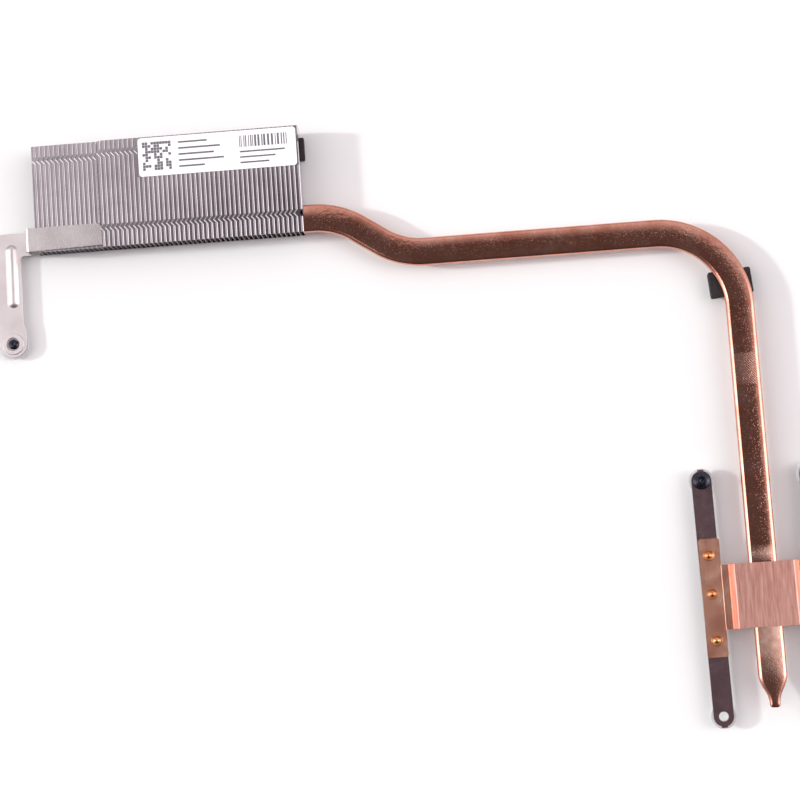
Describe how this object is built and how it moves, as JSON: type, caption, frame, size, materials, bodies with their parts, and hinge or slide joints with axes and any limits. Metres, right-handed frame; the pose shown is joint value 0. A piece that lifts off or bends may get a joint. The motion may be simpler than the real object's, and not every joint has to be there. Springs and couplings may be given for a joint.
{
  "type": "cpu heatsink",
  "caption": "Flat laptop heatsink: folded fin stack, flattened copper heat pipe with an S-bend and a corner, sprung copper saddle and a steel side bracket.",
  "frame": {"origin": "centre of the copper face that presses on the processor", "axes": "+Z away from the processor, +Y along the pipe's run through the clamp, towards the fins, and +X along the fin stack, so that the fins lie at -X and +Y"},
  "size_m": [0.2502, 0.1927, 0.0101],
  "materials": {
    "fin_aluminium": "satin rolled sheet",
    "pipe_copper": "bright drawn copper",
    "saddle_copper": "satin brushed copper",
    "plate_copper": "satin brushed copper",
    "rivet_copper": "satin copper",
    "black_steel": "satin black oxide",
    "screw_steel": "satin black zinc",
    "ring_nylon": "natural nylon",
    "bracket_steel": "satin tinned steel",
    "black_foam": "matt closed-cell foam",
    "label_paper": "matt white label"
  },
  "bodies": {
    "root": {"tall_fins": "fin_aluminium", "low_fins": "fin_aluminium", "heat_pipe": "pipe_copper", "cold_plate": "plate_copper", "saddle_plate": "saddle_copper", "left_spring_arm": "black_steel", "right_spring_arm": "black_steel", "left_rear_rivet": "rivet_copper", "left_middle_rivet": "rivet_copper", "left_front_rivet": "rivet_copper", "right_rear_rivet": "rivet_copper", "right_middle_rivet": "rivet_copper", "right_front_rivet": "rivet_copper", "left_rear_screw": "screw_steel", "right_rear_screw": "screw_steel", "right_front_screw": "screw_steel", "left_rear_ring": "ring_nylon", "left_front_ring": "ring_nylon", "right_rear_ring": "ring_nylon", "right_front_ring": "ring_nylon", "side_bracket": "bracket_steel", "bracket_screw": "screw_steel", "bracket_ring": "ring_nylon", "pipe_foam_pad": "black_foam", "fin_foam_strip": "black_foam", "paper_label": "label_paper"}
  },
  "joints": []
}
